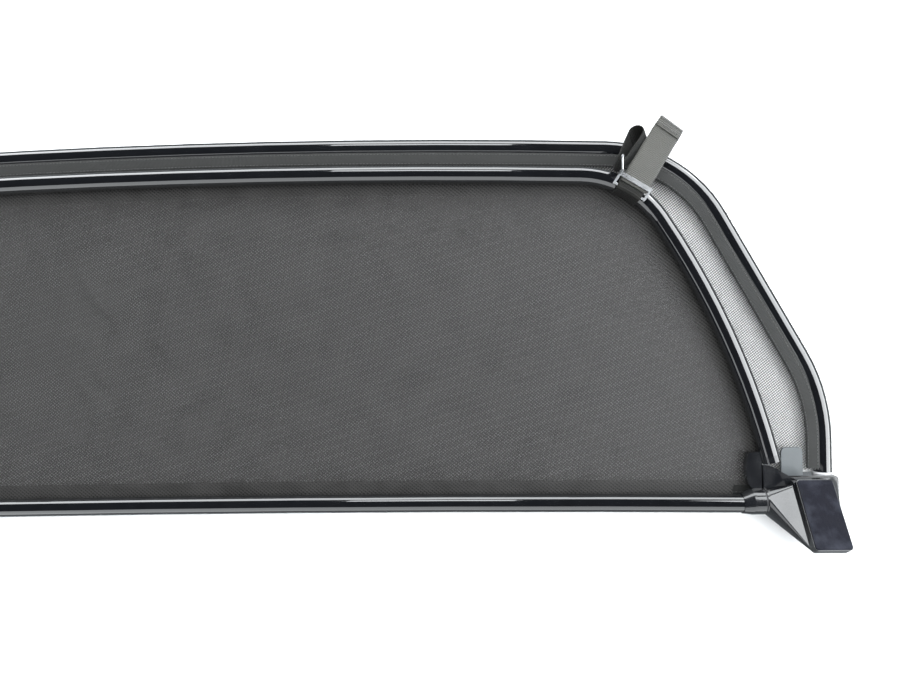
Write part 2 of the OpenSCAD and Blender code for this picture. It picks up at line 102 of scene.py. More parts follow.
@dataclass(frozen=True)
class BentTube:
    """Right half of a frame tube's middle line, from its top centre down to its foot.

    Args:
        reach: distance from the hinge line to the top centre, mm.
        z: height of the middle line, mm; not used.
        rail_half: half length of the rail that closes the frame, mm; not used.
        stretches: the stretches in order.
    """

    reach: float
    z: float
    rail_half: float
    stretches: tuple[Stretch, ...]

    def _joints(self) -> list[tuple[float, float, float]]:
        """Finds where the stretches meet.

        Returns:
            x, y and heading at the start of each stretch and at the foot, hinge frame, mm and radians.
        """
        x, y, heading = 0.0, self.reach, 0.0
        out = [(x, y, heading)]
        for part in self.stretches:
            if part.radius:
                cx, cy = x + part.radius * math.sin(heading), y - part.radius * math.cos(heading)
                heading -= math.radians(part.extent)
                x, y = cx - part.radius * math.sin(heading), cy + part.radius * math.cos(heading)
            else:
                x, y = x + math.cos(heading) * part.extent, y + math.sin(heading) * part.extent
            out.append((x, y, heading))
        return out

    def points(self, inset: float, step: float = 4.0) -> list[Point2]:
        """Samples the half outline.

        Args:
            inset: offset towards the inside of the frame, mm.
            step: distance between samples, mm.

        Returns:
            Points from the top centre to the foot, hinge frame, mm.
        """
        joints = self._joints()
        out: list[Point2] = []
        for index, (part, (x, y, heading)) in enumerate(zip(self.stretches, joints)):
            if part.radius:
                cx, cy = self.bend_middle(index)
                turn = math.radians(part.extent)
                reach = part.radius - inset
                count = max(2, round(part.radius * turn / step))
                for k in range(count):
                    h = heading - turn * k / count
                    out.append((cx - reach * math.sin(h), cy + reach * math.cos(h)))
            else:
                count = max(2, round(part.extent / step))
                nx, ny = math.sin(heading) * inset, -math.cos(heading) * inset
                for k in range(count):
                    along = part.extent * k / count
                    out.append((x + math.cos(heading) * along + nx, y + math.sin(heading) * along + ny))
        x, y, heading = joints[-1]
        out.append((x + math.sin(heading) * inset, y - math.cos(heading) * inset))
        return out

    def bend_middle(self, index: int) -> Point2:
        """Finds the middle of a bend.

        Args:
            index: which stretch the bend is.

        Returns:
            The bend's middle, hinge frame, mm.
        """
        x, y, heading = self._joints()[index]
        radius = self.stretches[index].radius
        return (x + radius * math.sin(heading), y - radius * math.cos(heading))


HINGE_BACK = 153.86
HINGE_Z = 28.3
TUBE_R = 8.0
RAIL_BOW_R = 28000.0
RAIL_DROP = 2.0
RAIL_HALF = 470.5

OUTER = BentTube(
    328.7, 8.0, 497.0,
    (Stretch(7800, 2.57), Stretch(123, 58.5), Stretch(0, 146.8), Stretch(158, 28.93), Stretch(0, 48.6)),
)
INNER = BentTube(299.5, HINGE_Z, RAIL_HALF, (Stretch(7800, 2.38), Stretch(88, 54.6), Stretch(700, 19.0)))
OUTER_CLOTH_Z = 13.9
INNER_CLOTH_Z = HINGE_Z - TUBE_R + 1.0
OUTER_CORNER: Point2 = (485.0, 24.4)
INNER_CORNER: Point2 = (456.5, 13.0)
INNER_CORNER_BEND = 1


def rail_y(x: float) -> float:
    """Returns the y of a bottom rail's middle line at x, hinge frame, mm."""
    rise = math.sqrt(RAIL_BOW_R**2 - x * x)
    return rise - math.sqrt(RAIL_BOW_R**2 - RAIL_HALF**2) - RAIL_DROP


def place(x: float, y: float, z: float) -> Vector:
    """Converts hinge-frame millimetres to metres in the object's frame."""
    return Vector((x * MM, (y - HINGE_BACK) * MM, z * MM))


# ---------------------------------------------------------------- materials


class Weave(Enum):
    """Surface structure of a finish."""

    PLAIN = "plain"
    GRAIN = "grain"
    BRUSHED = "brushed"
    TAPE = "tape"
    WEBBING = "webbing"
    NET = "net"
    THREAD = "thread"


@dataclass(frozen=True)
class Finish:
    """Everything that sets one material apart.

    Args:
        name: material name.
        dark: darker base colour, linear.
        light: lighter base colour, linear.
        rough: lowest and highest roughness.
        weave: surface structure.
        bump: bump distance, m.
        scale: structure size, m.
        coat: clear coat weight.
        metallic: metallic weight.
        sheen: sheen weight.
        cover: share of the area covered by thread, for a net.
        angle: direction of a net's main threads, degrees.
        specular: specular level.
        haze: how much of the light a net's holes hold back.
        worn: wear noise levels that give the darker and the lighter colour.
    """

    name: str
    dark: Colour
    light: Colour
    rough: Point2
    weave: Weave = Weave.PLAIN
    bump: float = 0.00002
    scale: float = 0.001
    coat: float = 0.0
    metallic: float = 0.0
    sheen: float = 0.0
    cover: float = 0.4
    angle: float = 38.0
    specular: float = 0.5
    haze: float = 0.0
    worn: Point2 = (0.0, 1.0)


class NodeTree:
    """Small helper that adds and links shader nodes.

    Args:
        tree: the node tree to fill.
    """

    def __init__(self, tree: bpy.types.NodeTree) -> None:
        self.tree = tree
        tree.nodes.clear()

    def add(self, kind: str, inputs: dict | None = None, **props) -> bpy.types.Node:
        """Adds a node, sets its properties and its inputs.

        Args:
            kind: node type name.
            inputs: socket name or index to a value or a socket to link from.
            props: attributes of the node.

        Returns:
            The new node.
        """
        node = self.tree.nodes.new(kind)
        for key, value in props.items():
            setattr(node, key, value)
        for key, value in (inputs or {}).items():
            socket = node.inputs[key]
            if isinstance(value, bpy.types.NodeSocket):
                self.tree.links.new(value, socket)
            else:
                socket.default_value = value
        return node

    def math(self, operation: str, a: Value, b: Value = 0.5,
             c: Value | None = None) -> bpy.types.NodeSocket:
        """Adds a math node.

        Args:
            operation: what it works out.
            a: first input.
            b: second input.
            c: third input, where the operation has one.

        Returns:
            Its result.
        """
        inputs = {0: a, 1: b}
        if c is not None:
            inputs[2] = c
        return self.add("ShaderNodeMath", inputs, operation=operation).outputs[0]

    def ramp(self, fac: bpy.types.NodeSocket, low: Colour, high: Colour) -> bpy.types.NodeSocket:
        """Mixes two colours.

        Args:
            fac: 0 for the first colour, 1 for the second.
            low: first colour, linear.
            high: second colour, linear.

        Returns:
            The mixed colour.
        """
        node = self.add("ShaderNodeMix", data_type="RGBA")
        self.tree.links.new(fac, node.inputs[0])
        node.inputs[6].default_value = (*low, 1.0)
        node.inputs[7].default_value = (*high, 1.0)
        return node.outputs[2]


class MaterialLibrary:
    """Builds each finish once and hands out its material."""

    WEAR_SCALE = 60.0
    WEAR_DETAIL = 4.0
    WEAR_ROUGH_SPAN = (0.3, 0.7)
    WARP_PITCH_SHARE = 0.8
    RIB_WEIGHT, WARP_WEIGHT = 0.7, 0.3
    BRUSH_STRETCH = (1, 14, 14)
    NET_DRIFT_SCALE = 9.0
    NET_DRIFT = (0.0016, 0.0016, 0.0)
    NET_CROSSING = 84.0
    NET_CROSS_SHARE = 0.5
    COAT_ROUGH = 0.02
    SHEEN_ROUGH = 0.5

    def __init__(self) -> None:
        self._made: dict[str, bpy.types.Material] = {}

    def get(self, finish: Finish) -> bpy.types.Material:
        """Returns the material of a finish, building it on first use."""
        if finish.name not in self._made:
            self._made[finish.name] = self._build(finish)
        return self._made[finish.name]

    def _structure(self, t: NodeTree, finish: Finish, coords: bpy.types.NodeSocket) -> tuple:
        """Builds a structure's height and mask.

        Args:
            t: the material's tree.
            finish: the finish to build.
            coords: where the structure is read.

        Returns:
            Height socket, mask socket or None.
        """
        sep = t.add("ShaderNodeSeparateXYZ", {0: coords})
        x, y = sep.outputs[0], sep.outputs[1]
        if finish.weave in (Weave.TAPE, Weave.WEBBING):
            rib = t.math("SINE", t.math("MULTIPLY", x, 2 * math.pi / finish.scale))
            warp_pitch = finish.scale * self.WARP_PITCH_SHARE
            warp = t.math("SINE", t.math("MULTIPLY", y, 2 * math.pi / warp_pitch))
            warp = t.math("MULTIPLY", warp, self.WARP_WEIGHT)
            return t.math("MULTIPLY_ADD", rib, self.RIB_WEIGHT, warp), None
        if finish.weave is Weave.NET:
            return self._net(t, finish, x, y)
        if finish.weave is Weave.GRAIN:
            cells = t.add("ShaderNodeTexVoronoi", {"Vector": coords, "Scale": 1 / finish.scale})
            return cells.outputs["Distance"], None
        if finish.weave is Weave.BRUSHED:
            stretched = t.add("ShaderNodeMapping", {"Vector": coords, "Scale": self.BRUSH_STRETCH})
            noise = t.add("ShaderNodeTexNoise", {"Vector": stretched.outputs[0], "Scale": 1 / finish.scale})
            return noise.outputs["Fac"], None
        noise = t.add("ShaderNodeTexNoise", {"Vector": coords, "Scale": 1 / finish.scale, "Detail": 3.0})
        return noise.outputs["Fac"], None

    def _net(self, t: NodeTree, finish: Finish, x: Value, y: Value) -> tuple:
        """Builds crossing threads.

        Args:
            t: the material's tree.
            finish: the net.
            x: place along the hinge line.
            y: place away from the hinge line.

        Returns:
            Height socket, thread mask socket.
        """
        threads = (finish.cover - finish.haze) / (1 - finish.haze)
        # the cross threads are half as wide, so 1 - (1 - share) * (1 - share / 2) is what threads cover
        share = 1.5 - math.sqrt(2.25 - 2 * threads)
        heights = []
        masks = []
        for angle, weight in ((finish.angle, 1.0), (finish.angle + self.NET_CROSSING, self.NET_CROSS_SHARE)):
            c, s = math.cos(math.radians(angle)), math.sin(math.radians(angle))
            across = t.math("MULTIPLY_ADD", x, -s, t.math("MULTIPLY", y, c))
            phase = t.math("FRACT", t.math("MULTIPLY", across, 1 / finish.scale))
            gap = t.math("ABSOLUTE", t.math("SUBTRACT", phase, 0.5))
            masks.append(t.math("LESS_THAN", gap, share * weight / 2))
            heights.append(t.math("SUBTRACT", 0.5, gap))
        mask = t.math("MAXIMUM", *masks)
        return t.math("MAXIMUM", *heights), t.math("MAXIMUM", mask, finish.haze)

    def _build(self, finish: Finish) -> bpy.types.Material:
        """Builds one material.

        Args:
            finish: what sets it apart.

        Returns:
            The material.
        """
        material = bpy.data.materials.new(finish.name)
        material.use_nodes = True
        material.diffuse_color = (*finish.light, 1.0)
        t = NodeTree(material.node_tree)
        tex = t.add("ShaderNodeTexCoord")
        woven = finish.weave in (Weave.TAPE, Weave.WEBBING)
        coords = tex.outputs["UV" if woven else "Object"]
        if finish.weave is Weave.NET:
            drift = t.add("ShaderNodeTexNoise", {"Vector": coords, "Scale": self.NET_DRIFT_SCALE, "Detail": 1.0})
            shift = t.add("ShaderNodeVectorMath", {0: drift.outputs["Color"], 1: self.NET_DRIFT},
                          operation="MULTIPLY")
            coords = t.add("ShaderNodeVectorMath", {0: coords, 1: shift.outputs[0]}).outputs[0]
        height, mask = self._structure(t, finish, coords)
        wear = t.add("ShaderNodeTexNoise", {"Vector": tex.outputs["Object"], "Scale": self.WEAR_SCALE,
                                             "Detail": self.WEAR_DETAIL})
        patches = t.add("ShaderNodeMapRange", {0: wear.outputs["Fac"], 1: finish.worn[0],
                                               2: finish.worn[1]})
        colour = t.ramp(patches.outputs[0], finish.dark, finish.light)
        rough = t.add("ShaderNodeMapRange", {0: wear.outputs["Fac"], 1: self.WEAR_ROUGH_SPAN[0],
                                             2: self.WEAR_ROUGH_SPAN[1],
                                             3: finish.rough[0], 4: finish.rough[1]})
        bump = t.add("ShaderNodeBump", {"Height": height, "Distance": finish.bump, "Strength": 1.0})
        shader = t.add("ShaderNodeBsdfPrincipled", {
            "Base Color": colour, "Roughness": rough.outputs[0], "Metallic": finish.metallic,
            "Specular IOR Level": finish.specular, "Coat Weight": finish.coat, "Coat Roughness": self.COAT_ROUGH,
            "Sheen Weight": finish.sheen, "Sheen Roughness": self.SHEEN_ROUGH, "Normal": bump.outputs[0]})
        surface = shader.outputs[0]
        if mask is not None:
            clear = t.add("ShaderNodeBsdfTransparent")
            mix = t.add("ShaderNodeMixShader", {0: mask, 1: clear.outputs[0], 2: surface})
            surface = mix.outputs[0]
        t.add("ShaderNodeOutputMaterial", {"Surface": surface})
        return material


GLOSS_BLACK = Finish("tube_enamel", (0.003, 0.0032, 0.004), (0.006, 0.0065, 0.008), (0.05, 0.1),
                     bump=0.000004, scale=0.004, coat=1.0)
FOOT_BLACK = Finish("foot_moulding", (0.005, 0.005, 0.006), (0.01, 0.011, 0.013), (0.1, 0.2),
                    bump=0.00001, scale=0.003, coat=0.6)
PAD = Finish("pad_rubber", (0.0008, 0.0012, 0.0045), (0.024, 0.026, 0.036), (0.45, 0.75), Weave.GRAIN,
             bump=0.00012, scale=0.0009, specular=0.12, worn=(0.48, 0.75))
STEEL = Finish("screw_steel", (0.35, 0.35, 0.36), (0.6, 0.6, 0.62), (0.2, 0.4), Weave.BRUSHED,
               bump=0.00001, scale=0.0006, metallic=1.0)
BUCKLE = Finish("buckle_metal", (0.45, 0.46, 0.47), (0.72, 0.73, 0.75), (0.25, 0.42), Weave.BRUSHED,
                bump=0.00002, scale=0.0005, metallic=1.0)
CLIP = Finish("clip_moulding", (0.05, 0.056, 0.06), (0.09, 0.1, 0.105), (0.35, 0.5),
              bump=0.00006, scale=0.001, coat=0.15, specular=0.3)
LIGHT = Finish("light_nylon", (0.45, 0.45, 0.46), (0.66, 0.66, 0.67), (0.35, 0.5), bump=0.00002)
WASHER = Finish("washer_nylon", (0.01, 0.01, 0.011), (0.03, 0.03, 0.033), (0.4, 0.55), bump=0.00002)
OUTER_NET = Finish("mesh_outer", (0.011, 0.0106, 0.0102), (0.024, 0.0228, 0.022), (0.5, 0.7), Weave.NET,
                   bump=0.0001, scale=0.0019, sheen=0.1, cover=0.5, haze=0.15)
INNER_NET = Finish("mesh_inner", (0.010, 0.0096, 0.0092), (0.022, 0.0208, 0.02), (0.5, 0.7), Weave.NET,
                   bump=0.0001, scale=0.0024, sheen=0.1, cover=0.77, angle=141.0, haze=0.48)
TAPE = Finish("hem_tape", (0.0085, 0.0088, 0.0086), (0.021, 0.0215, 0.0208), (0.6, 0.8), Weave.TAPE,
              bump=0.00012, scale=0.0012, sheen=0.12, specular=0.3)
WEBBING = Finish("webbing", (0.022, 0.022, 0.019), (0.065, 0.064, 0.056), (0.5, 0.7), Weave.WEBBING,
                 bump=0.0002, scale=0.0015, sheen=0.3)
# darker, duller copy of the webbing for the standing loop and the anchor round the tube: painted shade for parts
# that sit in shade, with less sheen and specular to hold back their highlights
WEBBING_SHADED = Finish("webbing_painted_shade", (0.003, 0.003, 0.0028), (0.013, 0.013, 0.011), (0.5, 0.7),
                      Weave.WEBBING, bump=0.0002, scale=0.0015, sheen=0.04, specular=0.2)
THREAD = Finish("thread", (0.02, 0.02, 0.02), (0.07, 0.07, 0.07), (0.5, 0.7), Weave.THREAD,
                bump=0.00004, scale=0.0004, sheen=0.4)

SLOT_FINISH: dict[str, Finish] = {
    "frame_black": GLOSS_BLACK, "foot_black": FOOT_BLACK, "mesh": OUTER_NET, "hem": TAPE, "pad": PAD,
    "screw_steel": STEEL, "clip": CLIP, "light_ring": LIGHT, "washer": WASHER, "webbing": WEBBING,
    "buckle_metal": BUCKLE,
}


# ---------------------------------------------------------------- pieces


@dataclass
class Piece:
    """A mesh being built.

    Args:
        name: object name.
        finish: its finish.
        slot: record slot name; not used.
    """

    name: str
    finish: Finish
    slot: str
    verts: list[Vector] = field(default_factory=list)
    faces: list[tuple[int, ...]] = field(default_factory=list)
    uvs: list[Point2] = field(default_factory=list)

    def grid(self, rows: Sequence[Sequence[Vector]], uvs: Sequence[Sequence[Point2]],
             wrap_rows: bool = False, wrap_cols: bool = False) -> None:
        """Adds a grid of quads.

        Args:
            rows: rows of points.
            uvs: texture place of each point, m.
            wrap_rows: whether the last row joins the first.
            wrap_cols: whether each row's last point joins its first.
        """
        base = len(self.verts)
        n, m = len(rows), len(rows[0])
        for row, uv in zip(rows, uvs):
            self.verts.extend(row)
            self.uvs.extend(uv)
        for i in range(n if wrap_rows else n - 1):
            for j in range(m if wrap_cols else m - 1):
                a, b = (i + 1) % n, (j + 1) % m
                self.faces.append((base + i * m + j, base + i * m + b, base + a * m + b, base + a * m + j))

    def build(self, library: MaterialLibrary, body: Body, mirror: bool = False) -> bpy.types.Object:
        """Makes the Blender object.

        Args:
            library: where the material comes from.
            body: the body it rides on.
            mirror: whether to mirror it to the other end.

        Returns:
            The object.
        """
        mesh = bpy.data.meshes.new(self.name)
        sign = -1.0 if mirror else 1.0
        mesh.from_pydata([(v.x * sign, v.y, v.z) for v in self.verts], [], self.faces)
        layer = mesh.uv_layers.new(name="weave")
        for loop in mesh.loops:
            layer.data[loop.index].uv = self.uvs[loop.vertex_index]
        mesh.polygons.foreach_set("use_smooth", [True] * len(mesh.polygons))
        obj = bpy.data.objects.new(self.name, mesh)
        bpy.context.scene.collection.objects.link(obj)
        mesh.materials.append(library.get(self.finish))
        tidy_normals(mesh)
        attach(obj, body.value)
        LOG.info("%s: %d faces", self.name, len(mesh.polygons))
        return obj


def tidy_normals(mesh: bpy.types.Mesh) -> None:
    """Turns a mesh's normals outward."""
    work = bmesh.new()
    work.from_mesh(mesh)
    bmesh.ops.recalc_face_normals(work, faces=work.faces)
    work.to_mesh(mesh)
    work.free()
    mesh.update()


@dataclass(frozen=True)
class PanelSize:
    """A mesh panel stretched in a frame.

    Args:
        tube: the frame it is stretched in.
        cloth_z: height of the cloth, mm.
        inset: distance from the tube's middle line to the cloth's edge, mm.
        sag: how far the middle hangs, mm.
        edge_gap: how far the cloth stays short of its widest point, mm.
        least: least depth of the cloth at its ends, mm.
        columns: samples across.
        rows: samples from hinge to free edge.
    """

    tube: BentTube
    cloth_z: float
    inset: float = 5.8
    sag: float = 1.0
    edge_gap: float = 0.05
    least: float = 0.2
    columns: int = 260
    rows: int = 60


class MeshPanel:
    """The net stretched in one frame.

    Args:
        size: its size.
        name: piece and node name.
        finish: the net.
        body: the body it rides on.
        corner: x and y beyond which the cloth is cut away for the foot, mm.
    """

    def __init__(self, size: PanelSize, name: str, finish: Finish, body: Body, corner: Point2) -> None:
        self.size, self.name, self.finish, self.body, self.corner = size, name, finish, body, corner
        half = size.tube.points(size.inset)
        widest = max(range(len(half)), key=lambda i: half[i][0])
        self._edge = half[: widest + 1]

    def _top(self, x: float) -> float:
        """Returns the cloth's upper edge at x, mm."""
        return float(np.interp(abs(x), [p[0] for p in self._edge], [p[1] for p in self._edge]))

    def make(self, library: MaterialLibrary) -> bpy.types.Object:
        """Args:
            library: where the material comes from.

        Returns:
            The net.
        """
        size = self.size
        x_max = self._edge[-1][0] - size.edge_gap
        piece = Piece(f"{self.name}_net", self.finish, "mesh")
        rows, uvs = [], []
        for i in range(size.columns + 1):
            x = -x_max * math.cos(math.pi * i / size.columns)
            low = rail_y(x) + size.inset
            if abs(x) > self.corner[0]:
                low = self.corner[1]
            high = max(self._top(x), low + size.least)
            row, uv = [], []
            for j in range(size.rows + 1):
                v = j / size.rows
                y = low + (high - low) * v
                drop = size.sag * (1 - (x / x_max) ** 2) * 4 * v * (1 - v)
                row.append(place(x, y, size.cloth_z - drop))
                uv.append((x * MM, y * MM))
            rows.append(row)
            uvs.append(uv)
        piece.grid(rows, uvs)
        obj = piece.build(library, self.body)
        if obj.data.polygons[0].normal.z < 0:
            obj.data.flip_normals()
        low, high = mesh_box(obj)
        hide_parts(self.name)
        return obj


def mesh_box(obj: bpy.types.Object) -> tuple[list[float], list[float]]:
    """Returns the lowest and highest corner of an object's mesh."""
    points = np.array([v.co for v in obj.data.vertices])
    return points.min(0).tolist(), points.max(0).tolist()


@dataclass(frozen=True)
class HemSize:
    """A tape sewn along the edge of a panel.

    Args:
        tube: the frame it borders.
        z: height of the cloth it is sewn to, mm.
        up: 1 above the cloth, -1 below it.
        corner: x and y beyond which the tape is cut away for the foot, mm.
        rail_end: half length of the stretch along the rail, mm.
        inset: distance from the tube's middle line to the tape, mm.
        width: tape width, mm.
        thick: tape thickness, mm.
        edge_drop: share of the thickness lost at the tape's edges.
        edge_power: how sharply it is lost there.
        groove: how deep the stitches pull the tape in, mm.
        groove_width: width of that groove, as a share of the tape.
        stitch_rows: where the stitches run, as shares of the tape.
        stitch_seat: height of the stitches, as a share of the thickness.
        crown_steps: samples across.
        tube_steps: samples along the tube.
        rail_steps: samples along the rail.
    """

    tube: BentTube
    z: float
    up: float
    corner: Point2
    rail_end: float
    inset: float = 5.5
    width: float = 11.8
    thick: float = 0.9
    edge_drop: float = 0.35
    edge_power: int = 6
    groove: float = 0.12
    groove_width: float = 0.05
    stitch_rows: Point2 = (0.14, 0.86)
    stitch_seat: float = 0.93
    crown_steps: int = 8
    tube_steps: int = 400
    rail_steps: int = 240


class HemTape:
    """Tape round one panel, with two rows of stitches.

    Args:
        size: its sizes.
        name: piece and node name.
        body: the body it rides on.
    """

    EDGE_STEP = 2.0

    def __init__(self, size: HemSize, name: str, body: Body) -> None:
        self.size, self.name, self.body = size, name, body

    def _rise(self, s: float) -> float:
        """Works out how far the tape stands off the cloth.

        Args:
            s: place across the tape, 0 to 1.

        Returns:
            The height, mm.
        """
        size = self.size
        edge = abs(2 * s - 1) ** size.edge_power
        pull = sum(math.exp(-((s - at) / size.groove_width) ** 2) for at in size.stitch_rows)
        return size.thick * (1 - size.edge_drop * edge) - size.groove * pull

    def _strip(self, piece: Piece, left: Sequence[Point2], right: Sequence[Point2]) -> None:
        """Adds one crowned strip between two matching lines.

        Args:
            piece: the mesh it is added to.
            left: one edge.
            right: the other edge.
        """
        size = self.size
        count = size.crown_steps
        length = 0.0
        rows, uvs = [], []
        for k, (a, b) in enumerate(zip(left, right)):
            if k:
                length += math.dist(a, left[k - 1])
            row, uv = [], []
            for j in range(2 * (count + 1)):
                under = j > count
                s = (2 * count + 1 - j if under else j) / count
                x, y = a[0] + (b[0] - a[0]) * s, a[1] + (b[1] - a[1]) * s
                row.append(place(x, y, size.z + size.up * (0.0 if under else self._rise(s))))
                uv.append((length * MM, size.width * s * MM))
            rows.append(row)
            uvs.append(uv)
        piece.grid(rows, uvs, wrap_cols=True)

    def _edges(self) -> list[list[Point2]]:
        """Samples the tape's edges along the right half of the tube.

        Returns:
            Inner and outer edge with matching samples, cut at the foot.
        """
        size = self.size
        lines = []
        for inset in (size.inset + size.width, size.inset):
            points = np.array(size.tube.points(inset, self.EDGE_STEP))
            steps = np.r_[0, np.cumsum(np.hypot(*np.diff(points, axis=0).T))]
            s = np.linspace(0, steps[-1], size.tube_steps)
            lines.append(np.c_[np.interp(s, steps, points[:, 0]), np.interp(s, steps, points[:, 1])])
        keep = [k for k in range(size.tube_steps)
                if max(line[k][0] for line in lines) <= size.corner[0]
                or min(line[k][1] for line in lines) >= size.corner[1]]
        return [[tuple(line[k]) for k in keep] for line in lines]

    def make(self, library: MaterialLibrary, stitcher: "Stitcher") -> None:
        """Builds tape and stitches.

        Args:
            library: where the material comes from.
            stitcher: what lays the stitches.
        """
        size = self.size
        tape = Piece(f"{self.name}_tape", TAPE, "hem")
        full = [[(-x, y) for x, y in reversed(line)] + line[1:] for line in self._edges()]
        self._strip(tape, full[0], full[1])
        xs = np.linspace(-size.rail_end, size.rail_end, size.rail_steps)
        self._strip(tape, [(x, rail_y(x) + size.inset) for x in xs],
                    [(x, rail_y(x) + size.inset + size.width) for x in xs])
        obj = tape.build(library, self.body)
        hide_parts(self.name)
        rows = []
        for at in size.stitch_rows:
            rows.append([(a[0] + (b[0] - a[0]) * at, a[1] + (b[1] - a[1]) * at) for a, b in zip(*full)])
            rows.append([(x, rail_y(x) + size.inset + size.width * at) for x in xs])
        height = size.z + size.up * size.thick * size.stitch_seat
        lines = [[place(x, y, height) for x, y in row] for row in rows]
        stitcher.sew(f"{self.name}_stitches", self.body, lines)


class Stitcher:
    """Lays stitches along lines with a geometry node tree.

    Args:
        library: where the thread material comes from.
    """

    def __init__(self, library: MaterialLibrary) -> None:
        self.library = library
        self.tree, self.sockets = self._tree()

    def _tree(self) -> tuple[bpy.types.NodeTree, dict[str, str]]:
        """Builds the node tree.

        Returns:
            The tree and its input identifiers by name.
        """
        tree = bpy.data.node_groups.new("stitch_rows", "GeometryNodeTree")
        face = tree.interface
        face.new_socket("Geometry", in_out="INPUT", socket_type="NodeSocketGeometry")
        ids = {}
        for name, default in (("Pitch", 0.003), ("Length", 0.0022), ("Thickness", 0.0003)):
            socket = face.new_socket(name, in_out="INPUT", socket_type="NodeSocketFloat")
            socket.default_value = default
            ids[name] = socket.identifier
        socket = face.new_socket("Thread", in_out="INPUT", socket_type="NodeSocketMaterial")
        ids["Thread"] = socket.identifier
        face.new_socket("Geometry", in_out="OUTPUT", socket_type="NodeSocketGeometry")
        nodes, link = tree.nodes, tree.links.new
        source = nodes.new("NodeGroupInput")
        sink = nodes.new("NodeGroupOutput")
        curve = nodes.new("GeometryNodeMeshToCurve")
        points = nodes.new("GeometryNodeCurveToPoints")
        points.mode = "LENGTH"
        ball = nodes.new("GeometryNodeMeshUVSphere")
        ball.inputs["Segments"].default_value = 6
        ball.inputs["Rings"].default_value = 5
        ball.inputs["Radius"].default_value = 0.5
        size = nodes.new("ShaderNodeCombineXYZ")
        place_on = nodes.new("GeometryNodeInstanceOnPoints")
        real = nodes.new("GeometryNodeRealizeInstances")
        paint = nodes.new("GeometryNodeSetMaterial")
        align = nodes.new("FunctionNodeAlignEulerToVector")
        align.axis = "X"
        tangent = nodes.new("GeometryNodeInputTangent")
        capture = nodes.new("GeometryNodeCaptureAttribute")
        capture.capture_items.new("VECTOR", "Tangent")
        link(source.outputs["Geometry"], curve.inputs["Mesh"])
        link(curve.outputs[0], capture.inputs["Geometry"])
        link(tangent.outputs[0], capture.inputs["Tangent"])
        link(capture.outputs["Geometry"], points.inputs["Curve"])
        link(source.outputs["Pitch"], points.inputs["Length"])
        link(source.outputs["Length"], size.inputs[0])
        link(source.outputs["Thickness"], size.inputs[1])
        link(source.outputs["Thickness"], size.inputs[2])
        link(points.outputs["Points"], place_on.inputs["Points"])
        link(ball.outputs["Mesh"], place_on.inputs["Instance"])
        link(capture.outputs["Tangent"], align.inputs["Vector"])
        link(align.outputs[0], place_on.inputs["Rotation"])
        link(size.outputs[0], place_on.inputs["Scale"])
        link(place_on.outputs[0], real.inputs[0])
        link(real.outputs[0], paint.inputs["Geometry"])
        link(source.outputs["Thread"], paint.inputs["Material"])
        link(paint.outputs[0], sink.inputs[0])
        return tree, ids

    def sew(self, name: str, body: Body, lines: Iterable[Sequence[Vector]],
            pitch: float = 0.0032, length: float = 0.0024, thickness: float = 0.00045) -> bpy.types.Object:
        """Lays stitches along lines.

        Args:
            name: piece name.
            body: the body they ride on.
            lines: polylines in metres.
            pitch: distance from stitch to stitch, m.
            length: length of a stitch, m.
            thickness: thickness of the thread, m.

        Returns:
            The stitches as one mesh.
        """
        verts, edges = [], []
        for line in lines:
            base = len(verts)
            verts.extend(tuple(p) for p in line)
            edges.extend((base + k, base + k + 1) for k in range(len(line) - 1))
        guide = bpy.data.meshes.new(f"{name}_guide")
        guide.from_pydata(verts, edges, [])
        holder = bpy.data.objects.new(name, guide)
        bpy.context.scene.collection.objects.link(holder)
        modifier = holder.modifiers.new("stitches", "NODES")
        modifier.node_group = self.tree
        for key, value in (("Pitch", pitch), ("Length", length), ("Thickness", thickness)):
            modifier[self.sockets[key]] = value
        modifier[self.sockets["Thread"]] = self.library.get(THREAD)
        graph = bpy.context.evaluated_depsgraph_get()
        graph.update()
        mesh = bpy.data.meshes.new_from_object(holder.evaluated_get(graph))
        mesh.name = name
        holder.modifiers.clear()
        holder.data = mesh
        bpy.data.meshes.remove(guide)
        if not mesh.materials:
            mesh.materials.append(self.library.get(THREAD))
        mesh.polygons.foreach_set("use_smooth", [True] * len(mesh.polygons))
        tidy_normals(mesh)
        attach(holder, body.value)
        LOG.info("%s: %d faces", name, len(mesh.polygons))
        return holder


# ---------------------------------------------------------------- strap


